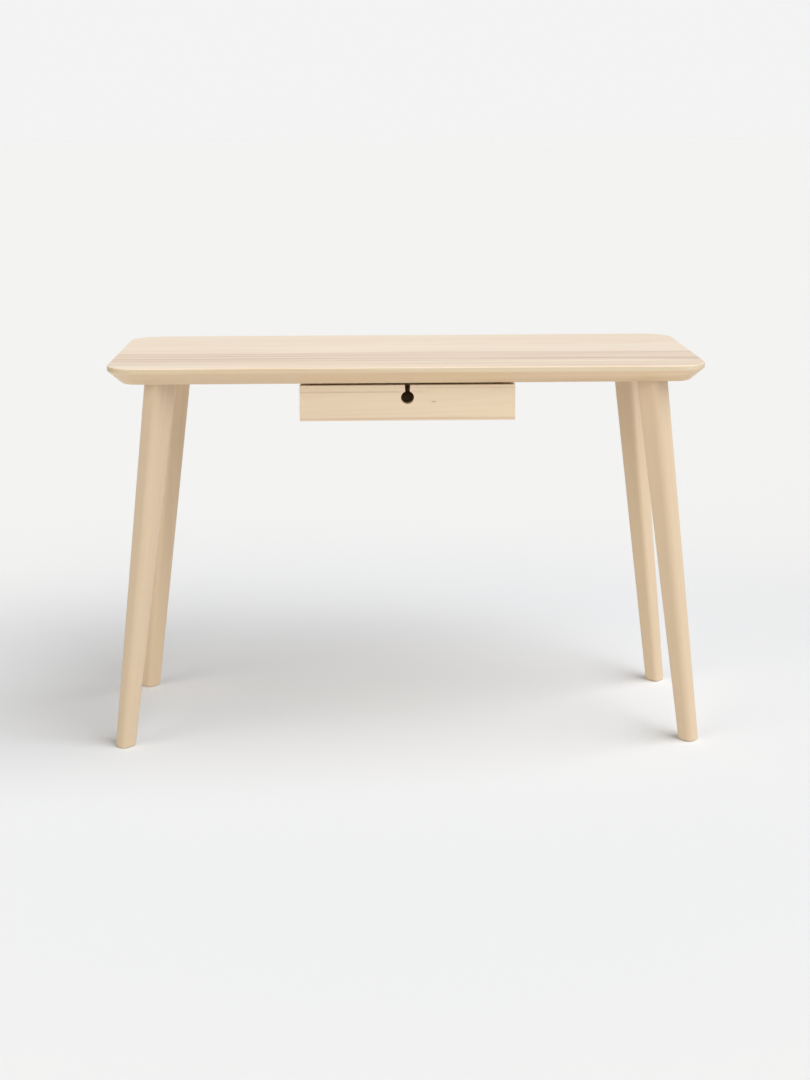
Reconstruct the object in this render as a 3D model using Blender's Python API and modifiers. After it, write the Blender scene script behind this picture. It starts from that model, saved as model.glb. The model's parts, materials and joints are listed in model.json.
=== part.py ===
"""A small wooden desk: a bevelled top, four splayed legs and one drawer with a keyhole finger pull.

Metres, +Z up. The origin lies on the floor under the middle of the top, and the front faces -Y.
"""
import math

import bmesh
import bpy
from mathutils import Matrix, Vector

# Overall size
DESK_LENGTH = 1.13
DESK_DEPTH = 0.45
DESK_HEIGHT = 0.74

# Gap between pieces that touch, and the running gap between the drawer and its runners
FIT_GAP = 0.0003
SLIDE_GAP = 0.0006

# Table top: an upright band round the edge, over a wide bevel that runs in to the underside
TOP_THICKNESS = 0.034
TOP_EDGE_BAND = 0.010
TOP_BEVEL_INSET = 0.028
TOP_CORNER_RADIUS = 0.060
TOP_EDGE_ROUNDING = 0.0022
TOP_CORNER_SEGMENTS = 10

# Legs: a square section set diagonally, tapered, with the foot further out than the head
LEG_HEAD_SIDE = 0.048
LEG_FOOT_SIDE = 0.0330
LEG_HEAD_FROM_END = 0.0975
LEG_HEAD_FROM_EDGE = 0.067
FRONT_LEG_SPLAY_TO_END = 0.077
REAR_LEG_SPLAY_TO_END = 0.071
LEG_SPLAY_TO_EDGE = 0.014
LEG_OUTER_RADIUS = 0.0125
LEG_INNER_RADIUS = 0.0085
LEG_CORNER_SEGMENTS = 6
LEG_FOOT_ROUNDING = 0.004

# Leg fitting: a stud in the underside, gripped by a cam nut in the leg, and two locating dowels
STUD_BITE = 0.012
STUD_THREAD_RADIUS = 0.003
STUD_SHANK_RADIUS = 0.0035
STUD_NECK_RADIUS = 0.002
STUD_NECK_LENGTH = 0.003
STUD_HEAD_HEIGHT = 0.006
CAM_RADIUS = 0.0075
CAM_DEPTH = 0.034
CAM_SETBACK = 0.0105
CAM_RECESS = 0.0012
CAM_BEYOND_STUD = 0.005
CAM_SLOT_WIDTH = 0.0016
CAM_SLOT_LENGTH = 0.008
CAM_SLOT_DEPTH = 0.0018
LEG_DOWEL_RADIUS = 0.004
LEG_DOWEL_LENGTH = 0.030
LEG_DOWEL_SPACING = 0.022
LEG_DOWEL_OFFSET = 0.008

# Drawer front and its finger pull
FRONT_WIDTH = 0.405
FRONT_HEIGHT = 0.0675
FRONT_THICKNESS = 0.018
FRONT_SETBACK = 0.001
FRONT_TOP_GAP = 0.004
FRONT_EDGE_ROUNDING = 0.001
PULL_HOLE_RADIUS = 0.0123
PULL_HOLE_BELOW_TOP = 0.024
PULL_SLOT_NECK = 0.0070
PULL_SLOT_MOUTH = 0.0105

# Drawer box
BOX_LENGTH = 0.300
SIDE_THICKNESS = 0.015
SIDE_BOTTOM_LIFT = 0.006
SIDE_LIP = 0.013
BACK_THICKNESS = 0.015
BOTTOM_THICKNESS = 0.004
BOTTOM_LIFT = 0.006
BOTTOM_GROOVE_DEPTH = 0.005
DRAWER_DOWEL_RADIUS = 0.003
DRAWER_DOWEL_IN_FRONT = 0.010
DRAWER_DOWEL_IN_SIDE = 0.018
DRAWER_TRAVEL = 0.200

# Runners and the stop under the top
RUNNER_SETBACK = 0.002
RUNNER_WIDTH = 0.018
RUNNER_HEIGHT = 0.034
RUNNER_FRONT_GAP = 0.002
RUNNER_REAR_SETBACK = 0.0083
TONGUE_HEIGHT = 0.009
TONGUE_REACH = 0.006
STOP_WIDTH = 0.050
STOP_THICKNESS = 0.014
STOP_HEIGHT = 0.020

# Screws
SCREW_SHANK_RADIUS = 0.002
SCREW_HEAD_RADIUS = 0.0038
SCREW_HEAD_HEIGHT = 0.0024
SCREW_TIP_LENGTH = 0.004
SCREW_BITE = 0.014
SCREW_SINK = 0.001
RUNNER_SCREW_BORE = 0.010
RUNNER_SCREW_FROM_END = 0.035
RUNNER_SCREW_PLACES = ("front", "middle", "rear")

# Sides of round pieces, and segments of a small rounding
ROUND_SIDES = 16
PULL_SIDES = 40
CAM_SIDES = 24
ROUNDING_SEGMENTS = 2

# Modelling limits: directions closer than this cosine count as the same, and steeper edges stay sharp
SAME_WAY = 0.9
SHARP_ANGLE = math.radians(40)
MERGE_DISTANCE = 0.00003

# Levels and planes that follow from the sizes above
UNDERSIDE = DESK_HEIGHT - TOP_THICKNESS
HANG_LEVEL = UNDERSIDE - FIT_GAP
LEG_LENGTH = HANG_LEVEL
FRONT_FACE = -DESK_DEPTH / 2 + TOP_BEVEL_INSET + FRONT_SETBACK
FRONT_BACK = FRONT_FACE + FRONT_THICKNESS
FRONT_TOP = UNDERSIDE - FRONT_TOP_GAP
FRONT_BOTTOM = FRONT_TOP - FRONT_HEIGHT
PULL_LEVEL = FRONT_TOP - PULL_HOLE_BELOW_TOP
RUNNER_OUTER = FRONT_WIDTH / 2 - RUNNER_SETBACK
RUNNER_INNER = RUNNER_OUTER - RUNNER_WIDTH
RUNNER_START = FRONT_BACK + RUNNER_FRONT_GAP
RUNNER_BOTTOM = HANG_LEVEL - RUNNER_HEIGHT
TONGUE_TOP = RUNNER_BOTTOM + TONGUE_HEIGHT
TONGUE_END = RUNNER_INNER - TONGUE_REACH
BOX_HALF_WIDTH = RUNNER_INNER - SLIDE_GAP
SIDE_INNER = BOX_HALF_WIDTH - SIDE_THICKNESS
SIDE_START = FRONT_BACK + FIT_GAP
SIDE_END = SIDE_START + BOX_LENGTH
SIDE_BOTTOM = FRONT_BOTTOM + SIDE_BOTTOM_LIFT
RUN_GROOVE_TOP = TONGUE_TOP + FIT_GAP
RUN_GROOVE_BOTTOM = RUNNER_BOTTOM - SLIDE_GAP
SIDE_TOP = RUN_GROOVE_TOP + SIDE_LIP
RUNNER_END = SIDE_END - RUNNER_REAR_SETBACK
BACK_FACE = SIDE_END - BACK_THICKNESS
PANEL_BOTTOM = SIDE_BOTTOM + BOTTOM_LIFT
PANEL_TOP = PANEL_BOTTOM + BOTTOM_THICKNESS
LOWER_JOINT = (PANEL_TOP + RUN_GROOVE_BOTTOM) / 2
UPPER_JOINT = (RUN_GROOVE_TOP + SIDE_TOP) / 2
STOP_REAR = BACK_FACE - DRAWER_TRAVEL - FIT_GAP
STOP_BOTTOM = HANG_LEVEL - STOP_HEIGHT

LEFT_RIGHT = {"left": -1, "right": 1}
FRONT_REAR = {"front": -1, "rear": 1}
JOINT_LEVELS = {"lower": LOWER_JOINT, "upper": UPPER_JOINT}
RIDGE_WAYS = ((1, 0), (0, 1), (-1, 0), (0, -1))


def clear_scene():
    for obj in list(bpy.data.objects):
        bpy.data.objects.remove(obj, do_unlink=True)


def new_collection(name):
    collection = bpy.data.collections.new(name)
    bpy.context.scene.collection.children.link(collection)
    return collection


def new_material(name, colour, roughness, metallic=0.0):
    material = bpy.data.materials.new(name)
    material.use_nodes = True
    shader = material.node_tree.nodes["Principled BSDF"]
    shader.inputs["Base Color"].default_value = (*colour, 1.0)
    shader.inputs["Roughness"].default_value = roughness
    shader.inputs["Metallic"].default_value = metallic
    return material


clear_scene()
PARTS = new_collection("desk")
CUTTERS = new_collection("desk_cutters")
TOP_WOOD = new_material("top_wood", (0.80, 0.69, 0.55), 0.45)
LEG_WOOD = new_material("leg_wood", (0.70, 0.55, 0.38), 0.45)
FRONT_WOOD = new_material("front_wood", (0.76, 0.63, 0.46), 0.45)
BOX_WOOD = new_material("box_wood", (0.74, 0.60, 0.43), 0.55)
RUNNER_WOOD = new_material("runner_wood", (0.66, 0.50, 0.34), 0.60)
DOWEL_WOOD = new_material("dowel_wood", (0.62, 0.44, 0.28), 0.60)
STEEL = new_material("zinc_steel", (0.62, 0.62, 0.60), 0.35, 1.0)


def new_empty(name, location):
    empty = bpy.data.objects.new(name, None)
    empty.location = location
    PARTS.objects.link(empty)
    return empty


FRAME = new_empty("desk_frame", (0, 0, 0))
DRAWER = new_empty("drawer_slide_axis", (0, FRONT_BACK, TONGUE_TOP))


def add_part(name, bm, material, parent, matrix=None):
    """A named sub-part from a bmesh, placed by matrix and carried by parent."""
    mesh = bpy.data.meshes.new(name)
    bm.to_mesh(mesh)
    bm.free()
    mesh.materials.append(material)
    obj = bpy.data.objects.new(name, mesh)
    PARTS.objects.link(obj)
    obj.parent = parent
    obj.matrix_parent_inverse = Matrix.Translation(parent.location).inverted()
    if matrix:
        obj.matrix_basis = matrix
    return obj


def add_cutter(name, bm, matrix=None):
    mesh = bpy.data.meshes.new(name)
    bm.to_mesh(mesh)
    bm.free()
    obj = bpy.data.objects.new(name, mesh)
    CUTTERS.objects.link(obj)
    obj.hide_render = True
    obj.display_type = "WIRE"
    if matrix:
        obj.matrix_basis = matrix
    return obj


def cut(part, *cutters):
    for cutter in cutters:
        boolean = part.modifiers.new(cutter.name, "BOOLEAN")
        boolean.operation = "DIFFERENCE"
        boolean.solver = "EXACT"
        boolean.object = cutter


def box_mesh(low, high):
    """A box between two corners, about its own middle, and the matrix that places it."""
    low, high = Vector(low), Vector(high)
    bm = bmesh.new()
    bmesh.ops.create_cube(bm, size=1.0)
    bmesh.ops.scale(bm, vec=high - low, verts=bm.verts)
    return bm, Matrix.Translation((low + high) / 2)


def box_part(name, low, high, material, parent):
    bm, matrix = box_mesh(low, high)
    return add_part(name, bm, material, parent, matrix)


def box_cutter(name, low, high):
    bm, matrix = box_mesh(low, high)
    return add_cutter(name, bm, matrix)


def along(start, end):
    """The matrix that lays local +Z from start to end."""
    direction = Vector(end) - Vector(start)
    return Matrix.Translation(start) @ direction.to_track_quat("Z", "Y").to_matrix().to_4x4()


def rod_mesh(radius, length, sides):
    """A cylinder that stands on its local origin."""
    bm = bmesh.new()
    bmesh.ops.create_cone(
        bm,
        cap_ends=True,
        segments=sides,
        radius1=radius,
        radius2=radius,
        depth=length,
        matrix=Matrix.Translation((0, 0, length / 2)),
    )
    return bm


def shade_round(obj):
    obj.data.shade_smooth()
    obj.data.set_sharp_from_angle(angle=SHARP_ANGLE)


def rod_part(name, radius, start, end, material, parent, sides=ROUND_SIDES):
    length = (Vector(end) - Vector(start)).length
    rod = add_part(name, rod_mesh(radius, length, sides), material, parent, along(start, end))
    shade_round(rod)
    return rod


def rod_cutter(name, radius, start, end, sides=ROUND_SIDES):
    length = (Vector(end) - Vector(start)).length
    return add_cutter(name, rod_mesh(radius, length, sides), along(start, end))


def turned_part(name, profile, material, parent, matrix):
    """A turned piece: profile holds (radius, height) points from the top down, turned about local Z."""
    bm = bmesh.new()
    verts = [bm.verts.new((radius, 0, height)) for radius, height in profile]
    for upper, lower in zip(verts, verts[1:]):
        bm.edges.new((upper, lower))
    turned = add_part(name, bm, material, parent, matrix)
    screw = turned.modifiers.new("turn", "SCREW")
    screw.axis = "Z"
    screw.steps = ROUND_SIDES
    screw.render_steps = ROUND_SIDES
    screw.use_merge_vertices = True
    screw.merge_threshold = MERGE_DISTANCE
    screw.use_smooth_shade = False
    return turned


def upright_edges(bm):
    return [edge for edge in bm.edges if abs((edge.verts[0].co - edge.verts[1].co).normalized().z) > SAME_WAY]


def add_bevel(part, width, limit):
    bevel = part.modifiers.new("edge_rounding", "BEVEL")
    bevel.width = width
    bevel.segments = ROUNDING_SEGMENTS
    bevel.limit_method = limit


def make_table_top():
    bm, matrix = box_mesh(
        (-DESK_LENGTH / 2, -DESK_DEPTH / 2, UNDERSIDE),
        (DESK_LENGTH / 2, DESK_DEPTH / 2, DESK_HEIGHT),
    )
    bmesh.ops.bevel(
        bm,
        geom=upright_edges(bm),
        offset=TOP_CORNER_RADIUS,
        segments=TOP_CORNER_SEGMENTS,
        profile=0.5,
        affect="EDGES",
    )
    underside = min(bm.faces, key=lambda face: face.calc_center_median().z)
    rim = list(underside.verts)
    bmesh.ops.inset_individual(bm, faces=[underside], thickness=TOP_BEVEL_INSET, use_even_offset=True)
    for vert in rim:
        vert.co.z = TOP_THICKNESS / 2 - TOP_EDGE_BAND
    top = add_part("table_top", bm, TOP_WOOD, FRAME, matrix)
    add_bevel(top, TOP_EDGE_ROUNDING, "ANGLE")
    return top


def leg_head(side_x, side_y):
    """The middle of the leg's head, on the underside."""
    return Vector((
        side_x * (DESK_LENGTH / 2 - LEG_HEAD_FROM_END),
        side_y * (DESK_DEPTH / 2 - LEG_HEAD_FROM_EDGE),
        HANG_LEVEL,
    ))


def leg_middle(side_x, side_y, depth):
    """The middle of the leg's section at a depth below its head."""
    share = depth / LEG_LENGTH
    to_end = FRONT_LEG_SPLAY_TO_END if side_y < 0 else REAR_LEG_SPLAY_TO_END
    splay = Vector((side_x * to_end * share, side_y * LEG_SPLAY_TO_EDGE * share, -depth))
    return leg_head(side_x, side_y) + splay


def leg_side(depth):
    return LEG_HEAD_SIDE + (LEG_FOOT_SIDE - LEG_HEAD_SIDE) * depth / LEG_LENGTH


def leg_ring(bm, middle, side, side_x, side_y):
    """A ring of vertices: a square set diagonally, its outward ridges rounder than its inward ones."""
    ring = []
    for quarter, (way_x, way_y) in enumerate(RIDGE_WAYS):
        outward = way_x * side_x + way_y * side_y > 0
        radius = LEG_OUTER_RADIUS if outward else LEG_INNER_RADIUS
        reach = (side / 2 - radius) * math.sqrt(2)
        ridge = middle + Vector((way_x * reach, way_y * reach, 0))
        for step in range(LEG_CORNER_SEGMENTS + 1):
            angle = math.radians(90) * (quarter - 0.5 + step / LEG_CORNER_SEGMENTS)
            ring.append(bm.verts.new(ridge + radius * Vector((math.cos(angle), math.sin(angle), 0))))
    return ring


def make_leg(corner, side_x, side_y):
    bm = bmesh.new()
    splay = leg_middle(side_x, side_y, LEG_LENGTH) - leg_head(side_x, side_y)
    head = leg_ring(bm, Vector(), LEG_HEAD_SIDE, side_x, side_y)
    foot = leg_ring(bm, splay, LEG_FOOT_SIDE, side_x, side_y)
    for index in range(len(head)):
        bm.faces.new((head[index - 1], head[index], foot[index], foot[index - 1]))
    bm.faces.new(head)
    sole = bm.faces.new(foot)
    bmesh.ops.recalc_face_normals(bm, faces=bm.faces)
    weight = bm.edges.layers.float.new("bevel_weight_edge")
    for edge in sole.edges:
        edge[weight] = 1.0
    leg = add_part(f"leg_{corner}", bm, LEG_WOOD, FRAME, Matrix.Translation(leg_head(side_x, side_y)))
    add_bevel(leg, LEG_FOOT_ROUNDING, "WEIGHT")
    return leg


def make_cam(corner, cam_outer, cam_inner, stud, facing):
    """The cam nut: a short cylinder with a bore for the stud and a cross slot in its face."""
    cam = rod_part(f"leg_cam_{corner}", CAM_RADIUS, cam_inner, cam_outer, STEEL, FRAME, CAM_SIDES)
    bore = rod_cutter(
        f"cam_bore_{corner}",
        STUD_SHANK_RADIUS + FIT_GAP,
        stud - Vector((0, 0, STUD_HEAD_HEIGHT / 2 + FIT_GAP)),
        stud + Vector((0, 0, CAM_RADIUS + CAM_SLOT_DEPTH)),
    )
    cut(cam, bore)
    sideways = facing.cross(Vector((0, 0, 1)))
    for arm, direction in {"level": sideways, "upright": Vector((0, 0, 1))}.items():
        bm = bmesh.new()
        bmesh.ops.create_cube(bm, size=1.0)
        bmesh.ops.scale(bm, vec=(CAM_SLOT_WIDTH, CAM_SLOT_LENGTH, 2 * CAM_SLOT_DEPTH), verts=bm.verts)
        across = direction.cross(facing)
        turn = Matrix((across, direction, facing)).transposed().to_4x4()
        cut(cam, add_cutter(f"cam_slot_{arm}_{corner}", bm, Matrix.Translation(cam_outer) @ turn))
    return cam


def make_leg_fitting(corner, side_x, side_y, leg, top):
    up = Vector((0, 0, 1))
    facing = Vector((-side_x, 1, 0)).normalized()
    # The stud stands a set distance behind the leg's face, at the cam's level
    stud = leg_middle(side_x, side_y, CAM_DEPTH) + facing * (leg_side(CAM_DEPTH) / 2 - CAM_SETBACK)
    seat = Vector((stud.x, stud.y, UNDERSIDE))
    cam_outer = stud + facing * (CAM_SETBACK - CAM_RECESS)
    cam_inner = stud - facing * CAM_BEYOND_STUD
    cam_hole = rod_cutter(
        f"cam_hole_{corner}",
        CAM_RADIUS + FIT_GAP,
        cam_inner - facing * FIT_GAP,
        cam_outer + facing * LEG_HEAD_SIDE,
        CAM_SIDES,
    )
    stud_hole = rod_cutter(f"stud_hole_{corner}", STUD_SHANK_RADIUS + FIT_GAP, stud, seat + up * FIT_GAP)
    thread_hole = rod_cutter(
        f"thread_hole_{corner}",
        STUD_THREAD_RADIUS + FIT_GAP,
        seat - up * FIT_GAP,
        seat + up * (STUD_BITE + FIT_GAP),
    )
    cut(leg, cam_hole, stud_hole)
    cut(top, thread_hole)
    make_cam(corner, cam_outer, cam_inner, stud, facing)

    head_bottom = stud.z - STUD_HEAD_HEIGHT / 2 - UNDERSIDE
    head_top = head_bottom + STUD_HEAD_HEIGHT
    neck_top = head_top + STUD_NECK_LENGTH
    profile = [
        (0, STUD_BITE),
        (STUD_THREAD_RADIUS, STUD_BITE),
        (STUD_THREAD_RADIUS, -FIT_GAP),
        (STUD_SHANK_RADIUS, -FIT_GAP),
        (STUD_SHANK_RADIUS, neck_top),
        (STUD_NECK_RADIUS, neck_top),
        (STUD_NECK_RADIUS, head_top),
        (STUD_SHANK_RADIUS, head_top),
        (STUD_SHANK_RADIUS, head_bottom),
        (0, head_bottom),
    ]
    turned_part(f"leg_stud_{corner}", profile, STEEL, FRAME, Matrix.Translation(seat))

    sideways = facing.cross(up)
    for place, step in {"inner": -1, "outer": 1}.items():
        middle = leg_head(side_x, side_y) - facing * LEG_DOWEL_OFFSET
        middle += sideways * step * side_x * LEG_DOWEL_SPACING / 2
        bottom = middle - up * LEG_DOWEL_LENGTH / 2
        end = middle + up * LEG_DOWEL_LENGTH / 2
        hole = rod_cutter(
            f"leg_dowel_hole_{corner}_{place}",
            LEG_DOWEL_RADIUS + FIT_GAP,
            bottom - up * FIT_GAP,
            end + up * FIT_GAP,
        )
        cut(leg, hole)
        cut(top, hole)
        rod_part(f"leg_dowel_{corner}_{place}", LEG_DOWEL_RADIUS, bottom, end, DOWEL_WOOD, FRAME)


def make_screw(name, seat, direction, length, parent):
    """A wood screw: its head's flat underside on seat, its shank pointing along direction."""
    profile = [
        (0, SCREW_HEAD_HEIGHT),
        (SCREW_HEAD_RADIUS, SCREW_HEAD_HEIGHT),
        (SCREW_HEAD_RADIUS, 0),
        (SCREW_SHANK_RADIUS, 0),
        (SCREW_SHANK_RADIUS, SCREW_TIP_LENGTH - length),
        (0, -length),
    ]
    return turned_part(name, profile, STEEL, parent, along(seat, Vector(seat) - Vector(direction)))


def screw_hole(name, seat, direction, length):
    """The hole for a screw's shank, from just outside its seat to just past its tip."""
    seat, direction = Vector(seat), Vector(direction)
    radius = SCREW_SHANK_RADIUS + FIT_GAP
    return rod_cutter(name, radius, seat - direction * FIT_GAP, seat + direction * (length + FIT_GAP))


def head_bore(name, seat, direction, depth):
    """The bore that a screw's head sits in: from its seat out past the face."""
    seat, direction = Vector(seat), Vector(direction)
    radius = SCREW_HEAD_RADIUS + FIT_GAP
    return rod_cutter(name, radius, seat + direction * FIT_GAP, seat - direction * 2 * depth)


def make_runner(name, side, top):
    inner = TONGUE_END
    low_x, high_x = sorted((side * inner, side * RUNNER_OUTER))
    runner = box_part(
        f"runner_{name}",
        (low_x, RUNNER_START, RUNNER_BOTTOM),
        (high_x, RUNNER_END, HANG_LEVEL),
        RUNNER_WOOD,
        FRAME,
    )
    # The rabbet over the tongue clears the drawer side
    low_x, high_x = sorted((side * (inner - TONGUE_REACH), side * RUNNER_INNER))
    rabbet = box_cutter(
        f"runner_rabbet_{name}",
        (low_x, RUNNER_START - TONGUE_REACH, TONGUE_TOP),
        (high_x, RUNNER_END + TONGUE_REACH, UNDERSIDE + TONGUE_REACH),
    )
    cut(runner, rabbet)
    up = (0, 0, 1)
    length = RUNNER_HEIGHT - RUNNER_SCREW_BORE + SCREW_BITE
    first = RUNNER_START + RUNNER_SCREW_FROM_END
    last = RUNNER_END - RUNNER_SCREW_FROM_END
    middle_x = side * (RUNNER_OUTER + RUNNER_INNER) / 2
    pitch = (last - first) / (len(RUNNER_SCREW_PLACES) - 1)
    for index, place in enumerate(RUNNER_SCREW_PLACES):
        seat = Vector((middle_x, first + index * pitch, RUNNER_BOTTOM + RUNNER_SCREW_BORE))
        label = f"{name}_{place}"
        hole = screw_hole(f"runner_screw_hole_{label}", seat, up, length)
        cut(runner, hole, head_bore(f"runner_head_bore_{label}", seat, up, RUNNER_SCREW_BORE))
        cut(top, hole)
        make_screw(f"runner_screw_{label}", seat, up, length, FRAME)


def make_stop(top):
    stop = box_part(
        "drawer_stop",
        (-STOP_WIDTH / 2, STOP_REAR - STOP_THICKNESS, STOP_BOTTOM),
        (STOP_WIDTH / 2, STOP_REAR, HANG_LEVEL),
        RUNNER_WOOD,
        FRAME,
    )
    up = (0, 0, 1)
    sink = SCREW_HEAD_HEIGHT + SCREW_SINK
    seat = Vector((0, STOP_REAR - STOP_THICKNESS / 2, STOP_BOTTOM + sink))
    length = STOP_HEIGHT - sink + SCREW_BITE
    hole = screw_hole("stop_screw_hole", seat, up, length)
    cut(stop, hole, head_bore("stop_head_bore", seat, up, sink))
    cut(top, hole)
    make_screw("drawer_stop_screw", seat, up, length, FRAME)


def make_pull_cutters():
    """The finger pull: a round hole, and a slot from it that widens to the front's top edge."""
    reach = FRONT_THICKNESS / 2
    hole = rod_cutter(
        "pull_hole",
        PULL_HOLE_RADIUS,
        (0, FRONT_FACE - reach, PULL_LEVEL),
        (0, FRONT_BACK + reach, PULL_LEVEL),
        PULL_SIDES,
    )
    bm, matrix = box_mesh(
        (-PULL_SLOT_NECK / 2, FRONT_FACE - reach, PULL_LEVEL),
        (PULL_SLOT_NECK / 2, FRONT_BACK + reach, FRONT_TOP + FRONT_EDGE_ROUNDING),
    )
    mouth = [vert for vert in bm.verts if vert.co.z > 0]
    bmesh.ops.scale(bm, vec=(PULL_SLOT_MOUTH / PULL_SLOT_NECK, 1, 1), verts=mouth)
    return hole, add_cutter("pull_slot", bm, matrix)


def make_drawer_front():
    front = box_part(
        "drawer_front",
        (-FRONT_WIDTH / 2, FRONT_FACE, FRONT_BOTTOM),
        (FRONT_WIDTH / 2, FRONT_BACK, FRONT_TOP),
        FRONT_WOOD,
        DRAWER,
    )
    add_bevel(front, FRONT_EDGE_ROUNDING, "ANGLE")
    groove_half = SIDE_INNER + BOTTOM_GROOVE_DEPTH
    groove = box_cutter(
        "front_groove",
        (-groove_half, FRONT_BACK - BOTTOM_GROOVE_DEPTH, PANEL_BOTTOM - FIT_GAP),
        (groove_half, FRONT_BACK + BOTTOM_GROOVE_DEPTH, PANEL_TOP + FIT_GAP),
    )
    cut(front, *make_pull_cutters(), groove)
    return front


def make_drawer_side(name, side):
    low_x, high_x = sorted((side * SIDE_INNER, side * BOX_HALF_WIDTH))
    board = box_part(
        f"drawer_side_{name}",
        (low_x, SIDE_START, SIDE_BOTTOM),
        (high_x, SIDE_END, SIDE_TOP),
        BOX_WOOD,
        DRAWER,
    )
    low_x, high_x = sorted((side * (TONGUE_END - SLIDE_GAP), side * RUNNER_OUTER))
    run_groove = box_cutter(
        f"run_groove_{name}",
        (low_x, SIDE_START - TONGUE_REACH, RUN_GROOVE_BOTTOM),
        (high_x, SIDE_END + TONGUE_REACH, RUN_GROOVE_TOP),
    )
    low_x, high_x = sorted((
        side * (SIDE_INNER - BOTTOM_GROOVE_DEPTH),
        side * (SIDE_INNER + BOTTOM_GROOVE_DEPTH),
    ))
    panel_groove = box_cutter(
        f"panel_groove_{name}",
        (low_x, SIDE_START - BOTTOM_GROOVE_DEPTH, PANEL_BOTTOM - FIT_GAP),
        (high_x, SIDE_END + BOTTOM_GROOVE_DEPTH, PANEL_TOP + FIT_GAP),
    )
    cut(board, run_groove, panel_groove)
    return board


def make_drawer_back():
    half = SIDE_INNER - FIT_GAP
    back = box_part(
        "drawer_back",
        (-half, BACK_FACE, SIDE_BOTTOM),
        (half, SIDE_END, SIDE_TOP),
        BOX_WOOD,
        DRAWER,
    )
    groove = box_cutter(
        "back_groove",
        (-SIDE_INNER - BOTTOM_GROOVE_DEPTH, BACK_FACE - BOTTOM_GROOVE_DEPTH, PANEL_BOTTOM - FIT_GAP),
        (SIDE_INNER + BOTTOM_GROOVE_DEPTH, BACK_FACE + BOTTOM_GROOVE_DEPTH, PANEL_TOP + FIT_GAP),
    )
    cut(back, groove)
    return back


def make_drawer_bottom():
    tuck = BOTTOM_GROOVE_DEPTH - FIT_GAP
    return box_part(
        "drawer_bottom",
        (-SIDE_INNER - tuck, FRONT_BACK - tuck, PANEL_BOTTOM),
        (SIDE_INNER + tuck, BACK_FACE + tuck, PANEL_TOP),
        BOX_WOOD,
        DRAWER,
    )


def join_drawer_side(name, side, board, front, back):
    """The dowels between the front and a side, and the screws from the side into the back."""
    middle_x = side * (BOX_HALF_WIDTH - SIDE_THICKNESS / 2)
    inward = Vector((-side, 0, 0))
    sink = SCREW_HEAD_HEIGHT + SCREW_SINK
    length = SIDE_THICKNESS - sink + SCREW_BITE
    ease = Vector((0, FIT_GAP, 0))
    hole_radius = DRAWER_DOWEL_RADIUS + FIT_GAP
    for place, level in JOINT_LEVELS.items():
        label = f"{name}_{place}"
        start = Vector((middle_x, FRONT_BACK - DRAWER_DOWEL_IN_FRONT, level))
        end = Vector((middle_x, SIDE_START + DRAWER_DOWEL_IN_SIDE, level))
        hole = rod_cutter(f"drawer_dowel_hole_{label}", hole_radius, start - ease, end + ease)
        cut(front, hole)
        cut(board, hole)
        rod_part(f"drawer_dowel_{label}", DRAWER_DOWEL_RADIUS, start, end, DOWEL_WOOD, DRAWER)
        seat = Vector((side * (BOX_HALF_WIDTH - sink), SIDE_END - BACK_THICKNESS / 2, level))
        shank = screw_hole(f"drawer_screw_hole_{label}", seat, inward, length)
        cut(board, shank, head_bore(f"drawer_head_bore_{label}", seat, inward, sink))
        cut(back, shank)
        make_screw(f"drawer_screw_{label}", seat, inward, length, DRAWER)


def main():
    top = make_table_top()
    for depth_name, side_y in FRONT_REAR.items():
        for name, side_x in LEFT_RIGHT.items():
            corner = f"{depth_name}_{name}"
            leg = make_leg(corner, side_x, side_y)
            make_leg_fitting(corner, side_x, side_y, leg, top)
    front = make_drawer_front()
    back = make_drawer_back()
    make_drawer_bottom()
    for name, side in LEFT_RIGHT.items():
        make_runner(name, side, top)
        board = make_drawer_side(name, side)
        join_drawer_side(name, side, board, front, back)
    make_stop(top)


main()
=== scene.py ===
"""Looks of the small wooden desk: lacquered pale wood, zinc fittings, a pale floor and the photo's camera.

Metres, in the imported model's frame: +Z up, the front faces -Y, the origin on the floor under the top.
"""
import json
import math

import bmesh
import bpy
from mathutils import Matrix, Vector


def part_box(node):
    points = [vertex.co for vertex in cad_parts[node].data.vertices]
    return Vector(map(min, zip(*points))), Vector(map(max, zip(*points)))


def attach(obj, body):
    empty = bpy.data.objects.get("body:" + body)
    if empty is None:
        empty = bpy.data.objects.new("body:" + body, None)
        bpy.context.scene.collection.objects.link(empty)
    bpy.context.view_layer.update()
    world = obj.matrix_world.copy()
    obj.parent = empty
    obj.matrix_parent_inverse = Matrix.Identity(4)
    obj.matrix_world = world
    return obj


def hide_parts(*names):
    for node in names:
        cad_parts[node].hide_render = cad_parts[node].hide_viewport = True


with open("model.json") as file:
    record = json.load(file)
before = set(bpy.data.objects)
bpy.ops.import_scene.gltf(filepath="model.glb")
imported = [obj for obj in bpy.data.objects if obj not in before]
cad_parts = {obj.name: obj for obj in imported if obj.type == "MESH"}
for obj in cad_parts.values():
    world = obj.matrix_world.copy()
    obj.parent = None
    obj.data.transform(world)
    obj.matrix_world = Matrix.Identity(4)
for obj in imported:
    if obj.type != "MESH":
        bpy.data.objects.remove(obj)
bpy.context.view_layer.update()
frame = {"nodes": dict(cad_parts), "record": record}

# Table top: the band round its edge, the bevel under it and the roundings between them
EDGE_BAND = 0.010
BEVEL_INSET = 0.028
TOP_CORNER_RADIUS = 0.060
TOP_UPPER_ROUNDING = 0.0026
TOP_BAND_ROUNDING = 0.0050
TOP_LOWER_ROUNDING = 0.0040
TOP_CORNER_STEPS = 16
ROUNDING_STEPS = 6
CAP_SUPPORT = 0.004

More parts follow.
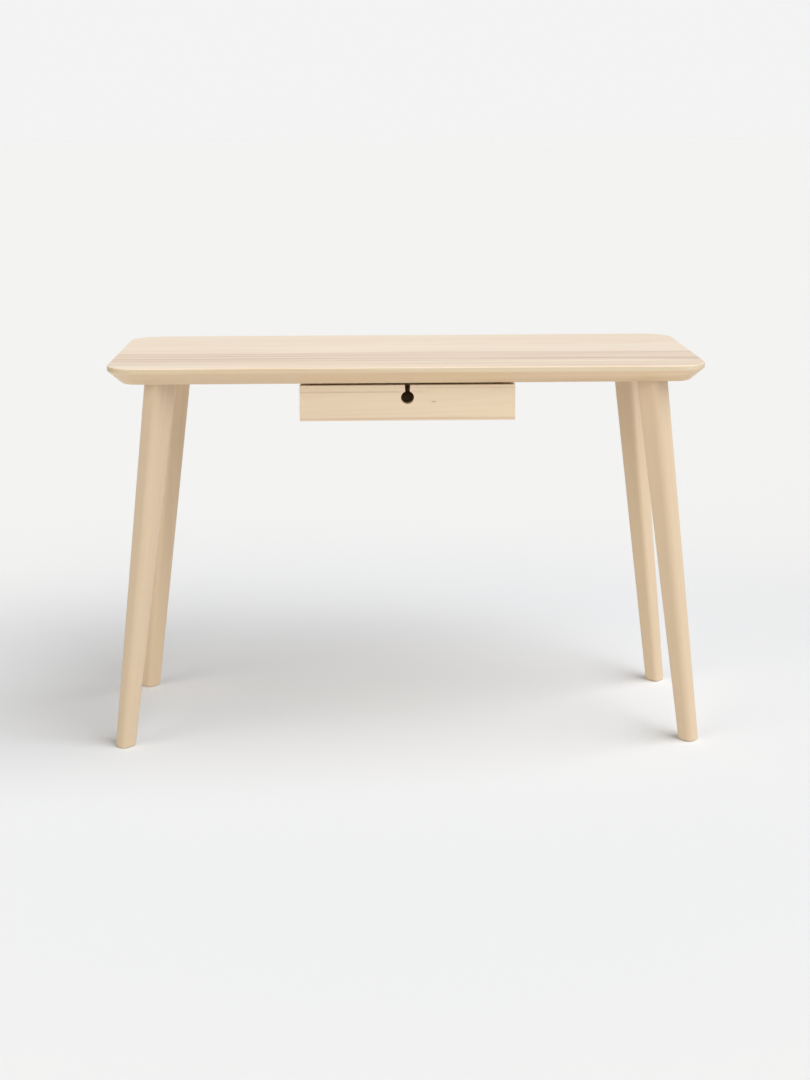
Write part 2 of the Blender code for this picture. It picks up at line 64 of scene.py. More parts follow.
# Other pieces: eased edges, and how packed faces are joined and shaded
BOARD_EASING = 0.0006
EASING_SEGMENTS = 2
MERGE_DISTANCE = 0.000002
FLAT_ANGLE = math.radians(0.2)
SHARP_ANGLE = math.radians(40)
LEVEL_TOLERANCE = 0.0001

# Properties of a piece that its material reads: the lean of its grain, and a tone that paints light and shade
# on each leg, lighter or darker as the light falls on it
LEAN = "grain_lean"
PAINTED_LIGHT = "painted_light_tone"
LEG_PAINTED_LIGHT = {"leg_front_left": 0.88, "leg_rear_left": 1.10, "leg_front_right": 0.95, "leg_rear_right": 0.92}

# Noise in the wood, as cells in a metre across, through and along the grain, and its detail
WAVE_NOISE = (7.0, 7.0, 1.1), 3.0
HEART_NOISE = (3.0, 3.0, 0.7), 2.0
BROKEN_NOISE = (40.0, 40.0, 2.5), 3.0
FIBRE_NOISE = (520.0, 520.0, 7.0), 2.0
STREAK_NOISE = (95.0, 95.0, 1.6), 3.0
PORE_NOISE = (1300.0, 1300.0, 28.0), 1.0
BROAD_NOISE = (11.0, 11.0, 0.9), 2.0

# Where the parts of the wood's look come in, from none to full: in a ring, in noise, by facing, and by edge
# for the painted edge highlight
RING_RISE = 0.15, 0.86
RING_FALL = 1.0, 0.88
BROKEN_RANGE = -0.22, 0.22
PORE_RANGE = 0.14, 0.30
BROAD_RANGE = -0.20, 0.20
END_FACING = 0.55, 0.95
EDGE_HIGHLIGHT_POINTINESS = 0.505, 0.56

# Lacquer: what fibres and pores add to its roughness and relief
FIBRE_ROUGHNESS = 0.10
PORE_ROUGHNESS = 0.12
FIBRE_RELIEF = 0.5
PORE_RELIEF = -1.0
WOOD_RELIEF_DEPTH = 0.0003
COAT_ROUGHNESS = 0.32

# Streaks: their waver, their gaps, the fine lines in them, and the end grain that they leave out
MARK_WAVER_NOISE = (6.0, 6.0, 1.7), 3.0
MARK_PATCH_NOISE = (60.0, 60.0, 1.5), 3.0
MARK_PATCH_RANGE = -0.30, 0.20
MARK_LINE_NOISE = (330.0, 330.0, 2.4), 3.0
MARK_LINE_RANGE = -0.28, 0.12
MARK_SIDE_FACING = 0.60, 0.30

# Where streaks grow in along a piece: before any piece starts, at the top's ends and on the drawer front,
# where one broad streak is a painted shade over its left part
WHOLE_LENGTH = -9.0, -8.0
TOP_LEFT_END = -0.20, -0.45
TOP_RIGHT_END = 0.00, 0.35
FRONT_PAINTED_SHADE_PART = 0.15, -0.20
FRONT_LEFT_HALF = 0.07, -0.03

# The solid wood round the top's edge, as shares of the veneer's colour at its left and right ends: its own
# darker tone, with painted light that rises from the left end to the right and tints the downward bevel apart
# from the band
BAND_TINTS_WITH_PAINTED_LIGHT = (0.757, 0.723, 0.625, 1.0), (0.835, 0.862, 0.828, 1.0)
BEVEL_TINTS_WITH_PAINTED_LIGHT = (0.90, 0.823, 0.707, 1.0), (0.967, 0.88, 0.733, 1.0)
PAINTED_LIGHT_ENDS = -0.5, 0.5
LIPPING_FACING = 0.9, 0.2
PAINTED_BEVEL_FACING = 0.0, -0.6

# The knot on the drawer front, as (up, out, along the grain) from the front's middle, and its ragged rims
KNOT_PLACE = (0.0020, 0.0, 0.0490)
KNOT_SIZE = (0.0013, 0.0500, 0.0050)
KNOT_NOISE = (900.0, 300.0, 300.0), 2.0
KNOT_RAGGEDNESS = 0.8
HALO_COLOUR = 196, 160, 120
HALO_RIM = 2.6, 0.8
HALO_SHARE = 0.50
CORE_COLOUR = 132, 92, 58
CORE_RIM = 1.15, 0.50
CORE_SHARE = 0.95

# Zinc: its grey, the crystals of its spangle and the clouds over them
ZINC_GREY = (0.62, 0.62, 0.60)
ZINC_SHADE = 0.92
ZINC_ROUGHNESS = 0.38
SPANGLE_SCALE = 900.0
SPANGLE_SHADE = 0.16
SPANGLE_BUMP = 0.12
SPANGLE_DEPTH = 0.0001
CLOUD_NOISE = (400.0, 400.0, 400.0), 3.0
CLOUD_SHADE = 0.25
CLOUD_ROUGHNESS = 0.2

# Camera: fitted to the photo's 810 x 1080 frame
FRAME_HEIGHT_PX = 1080
FOCAL_PX = 1683.2
PRINCIPAL_Y_PX = 285.0
CAMERA_PLACE = (-0.0822, -3.3135, 1.2193)
CAMERA_YAW = -0.0250
CAMERA_PITCH = 0.1050
CAMERA_ROLL = -0.0027
SENSOR_MM = 36.0

# Light: the shares of the sky and of the soft suns on a level surface add up to one
BACKGROUND = (0.896, 0.896, 0.896, 1.0)
SKY_COLOUR = (0.985, 1.0, 1.02, 1.0)
SKY_SHARE = 0.21
WHITE = (1.0, 1.0, 1.0)
WARM = (1.05, 0.98, 0.84)
SUNS = (
    {"name": "sun_right", "share": 0.52, "from": (0.56, -0.22, 0.80), "degrees": 57, "colour": WHITE},
    {"name": "sun_low", "share": 0.03, "from": (0.85, -0.45, 0.30), "degrees": 40, "colour": WHITE},
    {"name": "sun_front", "share": 0.15, "from": (0.30, -0.67, 0.68), "degrees": 43, "colour": WHITE},
    {"name": "sun_left", "share": 0.09, "from": (-0.72, -0.60, 0.30), "degrees": 44, "colour": WARM},
)

# Floor: painted shade, a little darker and cooler near the desk against the desk's warm bounce light, and the
# background's tone further away
FLOOR_HALF = 60.0
FLOOR_NEAR_PAINTED_SHADE = (0.838, 0.857, 0.884, 1.0)
FLOOR_SHADE_FADE = (0.4, 1.8)

RIGHT = Vector((1, 0, 0))
BACK = Vector((0, 1, 0))
UP = Vector((0, 0, 1))


def srgb(red, green, blue):
    """A colour written as the 0 to 255 values that a screen shows."""
    def linear(value):
        share = value / 255
        return share / 12.92 if share <= 0.04045 else ((share + 0.055) / 1.055) ** 2.4
    return (linear(red), linear(green), linear(blue), 1.0)


class Graph:
    """A material's node tree: an input is a plain value, or another node's output to link."""

    def __init__(self, name):
        self.material = bpy.data.materials.new(name)
        self.material.use_nodes = True
        self.tree = self.material.node_tree
        self.shader = self.tree.nodes["Principled BSDF"]

    def put(self, socket, value):
        if isinstance(value, bpy.types.NodeSocket):
            self.tree.links.new(value, socket)
        else:
            socket.default_value = value

    def add(self, kind, inputs, **settings):
        node = self.tree.nodes.new("ShaderNode" + kind)
        for key, value in settings.items():
            setattr(node, key, value)
        for key, value in inputs.items():
            self.put(node.inputs[key], value)
        return node

    def math(self, operation, first, second=0.0, third=0.0):
        return self.add("Math", {0: first, 1: second, 2: third}, operation=operation).outputs[0]

    def vector(self, operation, first, second):
        return self.add("VectorMath", {0: first, 1: second}, operation=operation).outputs["Vector"]

    def split(self, vector):
        return self.add("SeparateXYZ", {0: vector}).outputs

    def noise(self, vector, scale, detail):
        """Noise about zero, from -0.5 to 0.5, with a scale for each axis."""
        place = self.vector("MULTIPLY", vector, scale)
        node = self.add("TexNoise", {"Vector": place, "Scale": 1.0, "Detail": detail})
        return self.math("SUBTRACT", node.outputs["Fac"], 0.5)

    def smooth(self, value, low, high):
        inputs = {"Value": value, "From Min": low, "From Max": high}
        return self.add("MapRange", inputs, interpolation_type="SMOOTHSTEP").outputs["Result"]

    def mix(self, share, first, second):
        node = self.add("Mix", {}, data_type="RGBA")
        colours = [socket for socket in node.inputs if socket.type == "RGBA"]
        for socket, value in zip([node.inputs[0], *colours], (share, first, second)):
            self.put(socket, value)
        return next(socket for socket in node.outputs if socket.type == "RGBA")


def wood(name, **changes):
    """Lacquered pale wood. The grain runs along the piece's own Z, and X is across its width."""
    look = PALE | changes
    graph = Graph(name)
    coordinates = graph.add("TexCoord", {})
    lean = graph.add("Attribute", {}, attribute_type="OBJECT", attribute_name=LEAN).outputs["Vector"]
    height = graph.split(coordinates.outputs["Object"])["Z"]
    upright = graph.vector("SUBTRACT", coordinates.outputs["Object"], graph.vector("MULTIPLY", lean, height))
    own = graph.split(upright)
    apart = graph.math("MULTIPLY", graph.add("ObjectInfo", {}).outputs["Random"], look["apart"])
    along = graph.math("ADD", own["Z"], apart)
    place = graph.add("CombineXYZ", {0: own["X"], 1: own["Y"], 2: along}).outputs[0]

    # Slow waves in the grain, and the leaf of wood that a spot belongs to
    wave = graph.noise(place, *WAVE_NOISE)
    bent = graph.math("MULTIPLY_ADD", wave, look["wave"], own["X"])
    leaf = graph.math("FLOOR", graph.math("MULTIPLY_ADD", own["X"], 1 / look["leaf"], 0.5))
    chance = graph.add("TexWhiteNoise", {"W": graph.math("ADD", leaf, look["seed"])}, noise_dimensions="1D")
    tone = graph.math("SUBTRACT", chance.outputs["Value"], 0.5)

    # Growth rings about a heart that lies under the leaf and leans along it
    middle = graph.math("MULTIPLY", graph.math("ADD", leaf, tone), look["leaf"])
    sideways = graph.math("SUBTRACT", bent, middle)
    under = graph.math("MULTIPLY_ADD", along, look["lean"], graph.math("ADD", own["Y"], look["heart_depth"]))
    under = graph.math("MULTIPLY_ADD", graph.noise(place, *HEART_NOISE), 2 * look["wave"], under)
    square = graph.math("MULTIPLY_ADD", under, under, graph.math("MULTIPLY", sideways, sideways))
    ring = graph.math("FRACT", graph.math("DIVIDE", graph.math("SQRT", square), look["ring"]))
    late = graph.math("MULTIPLY", graph.smooth(ring, *RING_RISE), graph.smooth(ring, *RING_FALL))
    broken = graph.smooth(graph.noise(place, *BROKEN_NOISE), *BROKEN_RANGE)
    late = graph.math("MULTIPLY", late, graph.math("MULTIPLY", broken, look["ring_contrast"]))

    # Fibres and pores run with the grain
    fibre = graph.noise(place, *FIBRE_NOISE)
    streak = graph.noise(place, *STREAK_NOISE)
    pore = graph.smooth(graph.noise(place, *PORE_NOISE), *PORE_RANGE)

    # Colour: a broad tint, rings, lines, pores, end grain, each leg's painted light and shade, marks of the
    # piece, some of them painted light and shade, and a painted highlight on the edges
    broad = graph.smooth(graph.noise(place, *BROAD_NOISE), *BROAD_RANGE)
    colour = graph.mix(graph.math("MULTIPLY", broad, look["tint"]), look["light"], look["pink"])
    colour = graph.mix(late, colour, look["late"])
    lines = graph.math("MULTIPLY_ADD", streak, look["streak"], graph.math("MULTIPLY", fibre, look["fibre"]))
    # Painted light and shade: each leg's tone makes it lighter or darker as the light falls on it
    painted_tone = graph.add("Attribute", {}, attribute_type="OBJECT", attribute_name=PAINTED_LIGHT).outputs["Fac"]
    shade = graph.math("MULTIPLY_ADD", tone, look["leaf_tone"], graph.math("ADD", lines, painted_tone))
    colour = graph.vector("MULTIPLY", colour, shade)
    colour = graph.mix(graph.math("MULTIPLY", pore, look["pore"]), colour, look["late"])
    facing = graph.split(coordinates.outputs["Normal"])["Z"]
    end = graph.smooth(graph.math("ABSOLUTE", facing), *END_FACING)
    colour = graph.mix(graph.math("MULTIPLY", end, look["end"]), colour, look["end_colour"])
    for mark in look["marks"]:
        colour = mark(graph, coordinates.outputs["Object"], colour)
    # Painted highlight: convex edges are painted lighter, standing in for the light that catches them
    point = graph.add("NewGeometry", {}).outputs["Pointiness"]
    edge = graph.math("MULTIPLY", graph.smooth(point, *EDGE_HIGHLIGHT_POINTINESS), look["edge"])
    colour = graph.mix(edge, colour, look["edge_highlight_colour"])

    # Lacquer: a little rougher along the fibres and in the pores
    rough = graph.math("MULTIPLY_ADD", pore, PORE_ROUGHNESS, look["roughness"])
    rough = graph.math("MULTIPLY_ADD", fibre, FIBRE_ROUGHNESS, rough)
    relief = graph.math("MULTIPLY_ADD", pore, PORE_RELIEF, streak)
    relief = graph.math("MULTIPLY_ADD", fibre, FIBRE_RELIEF, relief)
    bump = graph.add("Bump", {"Strength": look["bump"], "Distance": WOOD_RELIEF_DEPTH, "Height": relief})
    graph.put(graph.shader.inputs["Base Color"], colour)
    graph.put(graph.shader.inputs["Roughness"], rough)
    graph.put(graph.shader.inputs["Normal"], bump.outputs["Normal"])
    graph.put(graph.shader.inputs["Coat Weight"], look["coat"])
    graph.put(graph.shader.inputs["Coat Roughness"], COAT_ROUGHNESS)
    return graph.material


def streak_mark(across, width, colour, share, fade=WHOLE_LENGTH):
    """A mark for wood(): a wavering streak of fine lines along the grain, at a place across the piece.

    Along the grain it grows from nothing at the first place of fade to its full share at the second.
    """
    def paint(graph, own, under):
        waver = graph.noise(own, *MARK_WAVER_NOISE)
        beside = graph.math("SUBTRACT", graph.split(own)["X"], across)
        off = graph.math("ABSOLUTE", graph.math("MULTIPLY_ADD", waver, width, beside))
        patchy = graph.smooth(graph.noise(own, *MARK_PATCH_NOISE), *MARK_PATCH_RANGE)
        lines = graph.smooth(graph.noise(own, *MARK_LINE_NOISE), *MARK_LINE_RANGE)
        facing = graph.split(graph.add("TexCoord", {}).outputs["Normal"])["Z"]
        sides = graph.smooth(graph.math("ABSOLUTE", facing), *MARK_SIDE_FACING)
        grown = graph.smooth(graph.split(own)["Z"], *fade)
        mask = graph.smooth(off, width, 0.0)
        for limit in (patchy, lines, sides, grown):
            mask = graph.math("MULTIPLY", mask, limit)
        return graph.mix(graph.math("MULTIPLY", mask, share), under, colour)
    return paint


def lipping_and_painted_light_mark(graph, own, under):
    """A mark for wood(): the solid wood round a board's edge, darker than the veneer that faces its own Y.
    Its tint carries painted light: lighter towards the right end, and the downward bevel tinted apart from
    the band.
    """
    facing = graph.split(graph.add("TexCoord", {}).outputs["Normal"])["Y"]
    along = graph.smooth(graph.split(own)["Z"], *PAINTED_LIGHT_ENDS)
    # Painted light: band and bevel tints rise from the left end to the right, and the bevel is tinted apart
    # by its facing
    band, bevel = (graph.mix(along, *tints) for tints in (BAND_TINTS_WITH_PAINTED_LIGHT, BEVEL_TINTS_WITH_PAINTED_LIGHT))
    tint = graph.mix(graph.smooth(facing, *PAINTED_BEVEL_FACING), band, bevel)
    tinted = graph.vector("MULTIPLY", under, tint)
    return graph.mix(graph.smooth(facing, *LIPPING_FACING), under, tinted)


def knot_mark(graph, own, under):
    """A mark for wood(): a small brown knot, longer along the grain than across it."""
    away = graph.vector("DIVIDE", graph.vector("SUBTRACT", own, KNOT_PLACE), KNOT_SIZE)
    distance = graph.add("VectorMath", {0: away}, operation="LENGTH").outputs["Value"]
    distance = graph.math("MULTIPLY_ADD", graph.noise(own, *KNOT_NOISE), KNOT_RAGGEDNESS, distance)
    halo = graph.math("MULTIPLY", graph.smooth(distance, *HALO_RIM), HALO_SHARE)
    core = graph.math("MULTIPLY", graph.smooth(distance, *CORE_RIM), CORE_SHARE)
    return graph.mix(core, graph.mix(halo, under, srgb(*HALO_COLOUR)), srgb(*CORE_COLOUR))


def zinc():
    """Zinc plating: a mottled grey metal with a soft crystal spangle."""
    graph = Graph("zinc_plate")
    own = graph.add("TexCoord", {}).outputs["Object"]
    spangle = graph.add("TexVoronoi", {"Vector": own, "Scale": SPANGLE_SCALE})
    grey = graph.split(spangle.outputs["Color"])["X"]
    cloud = graph.noise(own, *CLOUD_NOISE)
    shade = graph.math("MULTIPLY_ADD", cloud, CLOUD_SHADE, ZINC_SHADE)
    shade = graph.math("MULTIPLY_ADD", grey, SPANGLE_SHADE, shade)
    rough = graph.math("MULTIPLY_ADD", cloud, CLOUD_ROUGHNESS, ZINC_ROUGHNESS)
    bump = graph.add("Bump", {"Strength": SPANGLE_BUMP, "Distance": SPANGLE_DEPTH, "Height": grey})
    graph.put(graph.shader.inputs["Base Color"], graph.vector("MULTIPLY", ZINC_GREY, shade))
    graph.put(graph.shader.inputs["Roughness"], rough)
    graph.put(graph.shader.inputs["Normal"], bump.outputs["Normal"])
    graph.put(graph.shader.inputs["Metallic"], 1.0)
    return graph.material


PALE = {
    "light": srgb(241, 220, 192),
    "pink": srgb(233, 207, 180),
    "late": srgb(216, 184, 147),
    "end_colour": srgb(206, 172, 132),
    # painted highlight colour on convex edges
    "edge_highlight_colour": srgb(248, 232, 209),
    "marks": (),
    "apart": 3.7,
    "seed": 3.0,
    "wave": 0.016,
    "leaf": 0.4,
    "leaf_tone": 0.0,
    "heart_depth": 0.035,
    "lean": 0.030,
    "ring": 0.0060,
    "ring_contrast": 0.32,
    "tint": 0.6,
    "streak": 0.10,
    "fibre": 0.05,
    "pore": 0.22,
    "end": 0.6,
    "edge": 0.35,
    "roughness": 0.40,
    "bump": 0.25,
    "coat": 0.10,
}
INSIDE = {
    "light": srgb(241, 221, 192),
    "roughness": 0.52,
    "coat": 0.0,
    "edge": 0.2,
    "ring_contrast": 0.45,
    "streak": 0.16,
}
TOP_MARKS = (
    streak_mark(-0.052, 0.050, srgb(210, 185, 159), 1.00),
    streak_mark(-0.118, 0.058, srgb(210, 185, 158), 1.00),
    streak_mark(-0.040, 0.012, srgb(192, 160, 132), 0.95),
    streak_mark(-0.076, 0.009, srgb(194, 162, 134), 0.95),
    streak_mark(-0.106, 0.012, srgb(190, 156, 128), 0.95),
    streak_mark(-0.134, 0.014, srgb(190, 155, 126), 0.95),
    streak_mark(-0.172, 0.030, srgb(212, 186, 155), 0.95),
    streak_mark(-0.072, 0.022, srgb(194, 165, 137), 1.00, fade=TOP_LEFT_END),
    streak_mark(-0.168, 0.024, srgb(200, 172, 143), 0.95, fade=TOP_LEFT_END),
    streak_mark(-0.122, 0.030, srgb(194, 164, 134), 1.00, fade=TOP_RIGHT_END),
    streak_mark(-0.203, 0.016, srgb(202, 173, 142), 0.90, fade=TOP_RIGHT_END),
    lipping_and_painted_light_mark,
)
FRONT_MARKS = (
    # Painted shade: a broad darker tint over the drawer front's left part, as the light falls from the right
    streak_mark(0.0, 0.1000, srgb(200, 174, 142), 0.70, fade=FRONT_PAINTED_SHADE_PART),
    streak_mark(0.0285, 0.0026, srgb(190, 144, 110), 0.95),
    streak_mark(0.0210, 0.0030, srgb(172, 124, 90), 1.00, fade=FRONT_LEFT_HALF),
    streak_mark(-0.0296, 0.0032, srgb(172, 124, 90), 1.00),
    knot_mark,
)
TOP_WOOD = wood(
    "top_wood_lacquered",
    marks=TOP_MARKS,
    light=srgb(238, 222, 199),
    pink=srgb(232, 209, 184),
    apart=0.0,
    seed=11.0,
    leaf=0.15,
    leaf_tone=0.05,
    edge=0.2,
)
LEG_WOOD = wood(
    "leg_wood_lacquered",
    light=srgb(203, 173, 132),
    pink=srgb(195, 162, 123),
    late=srgb(177, 141, 100),
    heart_depth=0.05,
    ring=0.0045,
)
FRONT_WOOD = wood(
    "front_wood_lacquered",
    marks=FRONT_MARKS,
    light=srgb(215, 192, 159),
    pink=srgb(207, 180, 149),
    late=srgb(190, 157, 120),
    apart=0.0,
    seed=5.0,
)
BOX_WOOD = wood("box_wood_oiled", **INSIDE)
RUNNER_WOOD = wood("runner_wood_waxed", **INSIDE | {"light": srgb(229, 203, 169)})
DOWEL_WOOD = wood("dowel_wood_bare", **INSIDE | {"light": srgb(207, 172, 130), "roughness": 0.65})
ZINC = zinc()


def grain_frame(middle, along, across):
    """A piece's own frame: Z runs along the grain and X across its width."""
    z = along.normalized()
    x = (across - z * across.dot(z)).normalized()
    turned = Matrix((x, z.cross(x), z)).transposed()
    return Matrix.Translation(middle) @ turned.to_4x4()


def add_piece(name, bm, material, matrix):
    """A new evenly shaded piece from a bmesh, given in the frame that matrix places."""
    bmesh.ops.transform(bm, matrix=matrix.inverted(), verts=bm.verts)
    bmesh.ops.recalc_face_normals(bm, faces=bm.faces)
    mesh = bpy.data.meshes.new(name)
    bm.to_mesh(mesh)
    bm.free()
    mesh.materials.append(material)
    mesh.shade_smooth()
    mesh.set_sharp_from_angle(angle=SHARP_ANGLE)
    piece = bpy.data.objects.new(name, mesh)
    bpy.context.scene.collection.objects.link(piece)
    piece.matrix_world = matrix
    return piece


def stand_for(piece, node, body, slot):
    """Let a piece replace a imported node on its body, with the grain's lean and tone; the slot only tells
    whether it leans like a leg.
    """
    piece[LEAN] = leg_lean(node) if slot == "leg_wood" else (0.0, 0.0, 0.0)
    # Painted light and shade on each leg, as a tone of its colour
    piece[PAINTED_LIGHT] = LEG_PAINTED_LIGHT.get(node, 1.0)
    shading = piece.modifiers.new("even_shading", "WEIGHTED_NORMAL")
    shading.keep_sharp = True
    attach(piece, body)
    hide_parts(node)


def fillet(before, corner, after, radius):
    """The arc that rounds a profile's corner, as points."""
    corner = Vector(corner)
    first = (Vector(before) - corner).normalized()
    second = (Vector(after) - corner).normalized()
    half = first.angle(second) / 2
    centre = corner + (first + second).normalized() * radius / math.sin(half)
    start = (corner + first * radius / math.tan(half) - centre).normalized()
    end = (corner + second * radius / math.tan(half) - centre).normalized()
    return [centre + radius * start.slerp(end, step / ROUNDING_STEPS) for step in range(ROUNDING_STEPS + 1)]


def rounded_rectangle(half_x, half_y, radius):
    """Points round a rectangle with rounded corners, anticlockwise from its +X side."""
    points = []
    for quarter, (side_x, side_y) in enumerate(((1, 1), (-1, 1), (-1, -1), (1, -1))):
        for step in range(TOP_CORNER_STEPS + 1):
            angle = math.radians(90) * (quarter + step / TOP_CORNER_STEPS)
            points.append((
                side_x * (half_x - radius) + radius * math.cos(angle),
                side_y * (half_y - radius) + radius * math.sin(angle),
            ))
    return points


def loft(rings):
    """A closed skin over rings of points, capped at its first and last ring."""
    bm = bmesh.new()
    rows = [[bm.verts.new(point) for point in ring] for ring in rings]
    for upper, lower in zip(rows, rows[1:]):
        for index in range(len(upper)):
            bm.faces.new((upper[index - 1], upper[index], lower[index], lower[index - 1]))
    bm.faces.new(rows[0])
    bm.faces.new(rows[-1])
    return bm


def make_top():
    """The top, skinned over its edge's profile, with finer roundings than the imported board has."""
    low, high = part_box("table_top")
    middle = (low + high) / 2
    half = (high - low) / 2
    # The profile's corners as (inset from the edge, height)
    upper_in = (BEVEL_INSET, high.z)
    upper_edge = (0.0, high.z)
    band_edge = (0.0, high.z - EDGE_BAND)
    lower_edge = (BEVEL_INSET, low.z)
    lower_in = (2 * BEVEL_INSET, low.z)
    profile = [
        Vector((TOP_UPPER_ROUNDING + CAP_SUPPORT, high.z)),
        *fillet(upper_in, upper_edge, band_edge, TOP_UPPER_ROUNDING),
        *fillet(upper_edge, band_edge, lower_edge, TOP_BAND_ROUNDING),
        *fillet(band_edge, lower_edge, lower_in, TOP_LOWER_ROUNDING),
        Vector((BEVEL_INSET + TOP_LOWER_ROUNDING + CAP_SUPPORT, low.z)),
    ]
    rings = []
    for inset, height in profile:
        outline = rounded_rectangle(half.x - inset, half.y - inset, TOP_CORNER_RADIUS - inset)
        rings.append([(middle.x + x, middle.y + y, height) for x, y in outline])
    top = add_piece("table_top_finish", loft(rings), TOP_WOOD, grain_frame(middle, RIGHT, BACK))
    stand_for(top, "table_top", "frame", "top_wood")


def leg_lean(node):
    """How far the leg's middle moves sideways for each metre upwards."""
    low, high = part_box(node)
    points = [vert.co for vert in frame["nodes"][node].data.vertices]
    ends = []
    for level in (low.z, high.z):
        section = [point for point in points if abs(point.z - level) < LEVEL_TOLERANCE]
        ends.append(sum(section, Vector()) / len(section))
    lean = (ends[1] - ends[0]) / (high.z - low.z)
    return (lean.x, lean.y, 0.0)


def make_finish(node, body, slot, material, along, across, easing):
    """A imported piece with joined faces, even shading and eased edges, in a frame that follows its grain."""
    low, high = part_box(node)
    packed = frame["nodes"][node].data
    bm = bmesh.new()
    verts = [bm.verts.new(vert.co) for vert in packed.vertices]
    for polygon in packed.polygons:
        bm.faces.new([verts[index] for index in polygon.vertices])
    bmesh.ops.remove_doubles(bm, verts=bm.verts, dist=MERGE_DISTANCE)
    bmesh.ops.dissolve_limit(bm, angle_limit=FLAT_ANGLE, verts=bm.verts, edges=bm.edges)
    piece = add_piece(f"{node}_finish", bm, material, grain_frame((low + high) / 2, along, across))
    if easing:
        bevel = piece.modifiers.new("eased_edges", "BEVEL")
        bevel.width = easing
        bevel.segments = EASING_SEGMENTS
        bevel.limit_method = "ANGLE"
        bevel.angle_limit = SHARP_ANGLE
    stand_for(piece, node, body, slot)


# How each kind of piece is finished: slot, material, grain, width and eased edges, by the start of its name
FINISHES = {
    "leg_stud": ("zinc_steel", ZINC, UP, RIGHT, 0.0),
    "leg_cam": ("zinc_steel", ZINC, UP, RIGHT, 0.0),
    "leg_dowel": ("dowel_wood", DOWEL_WOOD, UP, RIGHT, 0.0),
    "leg": ("leg_wood", LEG_WOOD, UP, RIGHT, 0.0),
    "runner_screw": ("zinc_steel", ZINC, UP, RIGHT, 0.0),
    "runner": ("runner_wood", RUNNER_WOOD, BACK, UP, BOARD_EASING),
    "drawer_stop_screw": ("zinc_steel", ZINC, UP, RIGHT, 0.0),
    "drawer_stop": ("runner_wood", RUNNER_WOOD, RIGHT, BACK, BOARD_EASING),
    "drawer_front": ("front_wood", FRONT_WOOD, RIGHT, UP, 0.0),
    "drawer_side": ("box_wood", BOX_WOOD, BACK, UP, BOARD_EASING),
    "drawer_back": ("box_wood", BOX_WOOD, RIGHT, UP, BOARD_EASING),
    "drawer_bottom": ("box_wood", BOX_WOOD, RIGHT, BACK, BOARD_EASING),
    "drawer_dowel": ("dowel_wood", DOWEL_WOOD, BACK, UP, 0.0),
    "drawer_screw": ("zinc_steel", ZINC, BACK, UP, 0.0),
}

make_top()
for body, nodes in frame["record"]["behaviour"]["bodies"].items():
    for node in nodes:
        if node != "table_top":
            kind = next(start for start in FINISHES if node.startswith(start))
            slot, material, along, across, easing = FINISHES[kind]
            make_finish(node, body, slot, material, along, across, easing)


def make_floor():
    """The matt studio floor, which isn't part of the desk, with a painted shade around the desk."""
    graph = Graph("studio_floor")
    place = graph.add("TexCoord", {}).outputs["Object"]
    away = graph.add("VectorMath", {0: place}, operation="LENGTH").outputs["Value"]
    # Painted shade: darker and cooler near the desk, fading to the background's tone
    tone = graph.mix(graph.smooth(away, *FLOOR_SHADE_FADE), FLOOR_NEAR_PAINTED_SHADE, BACKGROUND)
    graph.put(graph.shader.inputs["Base Color"], tone)
    graph.put(graph.shader.inputs["Roughness"], 1.0)
    graph.put(graph.shader.inputs["Specular IOR Level"], 0.0)
    bm = bmesh.new()
    bmesh.ops.create_grid(bm, x_segments=1, y_segments=1, size=FLOOR_HALF)
    add_piece("studio_floor", bm, graph.material, Matrix.Identity(4))


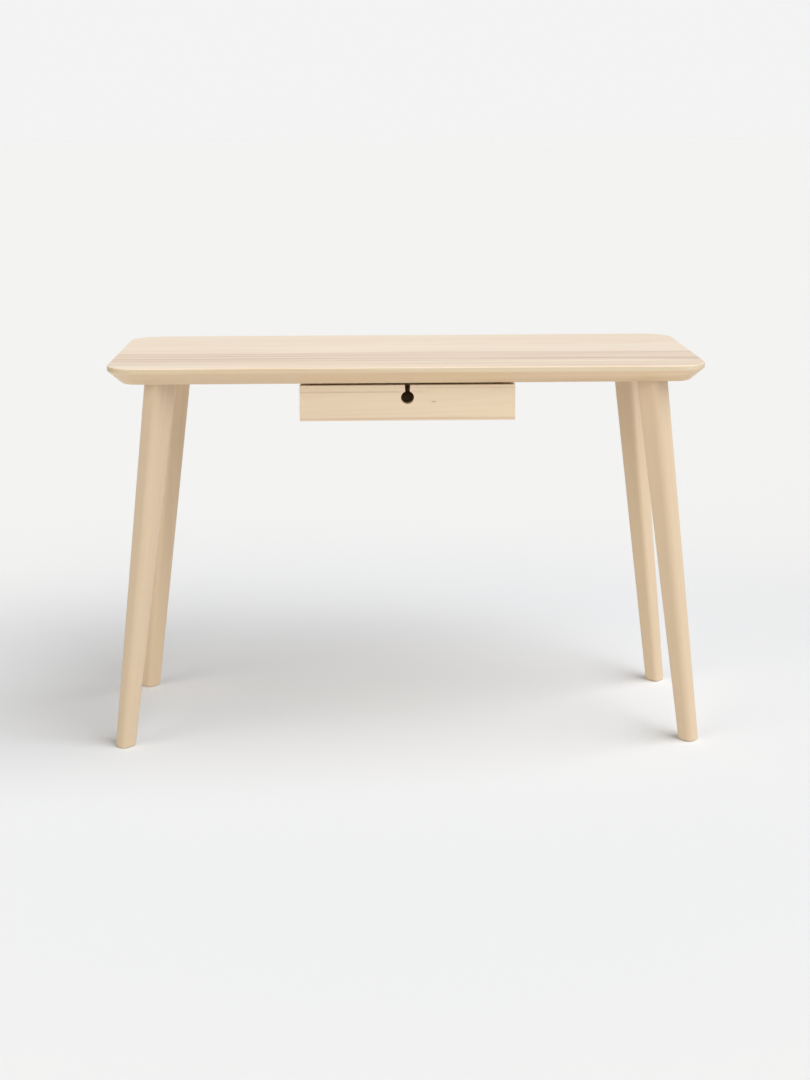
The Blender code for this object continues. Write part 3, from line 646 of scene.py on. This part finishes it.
def make_light():
    """A pale sky that the camera and reflections see as the background, and the soft suns."""
    world = bpy.data.worlds.new("studio_sky")
    bpy.context.scene.world = world
    world.use_nodes = True
    nodes, links = world.node_tree.nodes, world.node_tree.links
    rays = nodes.new("ShaderNodeLightPath")
    seen = rays.outputs["Is Camera Ray"]
    for kind in ("Is Glossy Ray", "Is Transmission Ray"):
        either = nodes.new("ShaderNodeMath")
        either.operation = "MAXIMUM"
        links.new(seen, either.inputs[0])
        links.new(rays.outputs[kind], either.inputs[1])
        seen = either.outputs[0]
    sky = nodes["Background"]
    sky.inputs["Color"].default_value = SKY_COLOUR
    sky.inputs["Strength"].default_value = SKY_SHARE
    backdrop = nodes.new("ShaderNodeBackground")
    backdrop.inputs["Color"].default_value = BACKGROUND
    choice = nodes.new("ShaderNodeMixShader")
    links.new(seen, choice.inputs[0])
    links.new(sky.outputs[0], choice.inputs[1])
    links.new(backdrop.outputs[0], choice.inputs[2])
    links.new(choice.outputs[0], nodes["World Output"].inputs["Surface"])

    for sun in SUNS:
        light = bpy.data.lights.new(sun["name"], "SUN")
        source = Vector(sun["from"])
        light.energy = sun["share"] * math.pi / source.normalized().z
        light.color = sun["colour"]
        light.angle = math.radians(sun["degrees"])
        lamp = bpy.data.objects.new(sun["name"], light)
        lamp.matrix_world = source.to_track_quat("Z", "Y").to_matrix().to_4x4()
        bpy.context.scene.collection.objects.link(lamp)


def make_camera():
    """The photo's camera: its pixels become a lens and a shift, and its turns a frame."""
    forward = Vector((
        -math.sin(CAMERA_YAW) * math.cos(CAMERA_PITCH),
        math.cos(CAMERA_YAW) * math.cos(CAMERA_PITCH),
        -math.sin(CAMERA_PITCH),
    ))
    right = Vector((math.cos(CAMERA_YAW), math.sin(CAMERA_YAW), 0.0))
    turned = Matrix((right, right.cross(forward), -forward)).transposed()
    lens = bpy.data.cameras.new("photo_camera")
    lens.sensor_width = SENSOR_MM
    lens.lens = FOCAL_PX / FRAME_HEIGHT_PX * SENSOR_MM
    lens.shift_y = PRINCIPAL_Y_PX / FRAME_HEIGHT_PX - 0.5
    camera = bpy.data.objects.new("photo_camera", lens)
    rolled = turned @ Matrix.Rotation(CAMERA_ROLL, 3, "Z")
    camera.matrix_world = Matrix.Translation(CAMERA_PLACE) @ rolled.to_4x4()
    bpy.context.scene.collection.objects.link(camera)
    bpy.context.scene.camera = camera


make_floor()
make_light()
make_camera()
bpy.context.scene.view_settings.view_transform = "Standard"
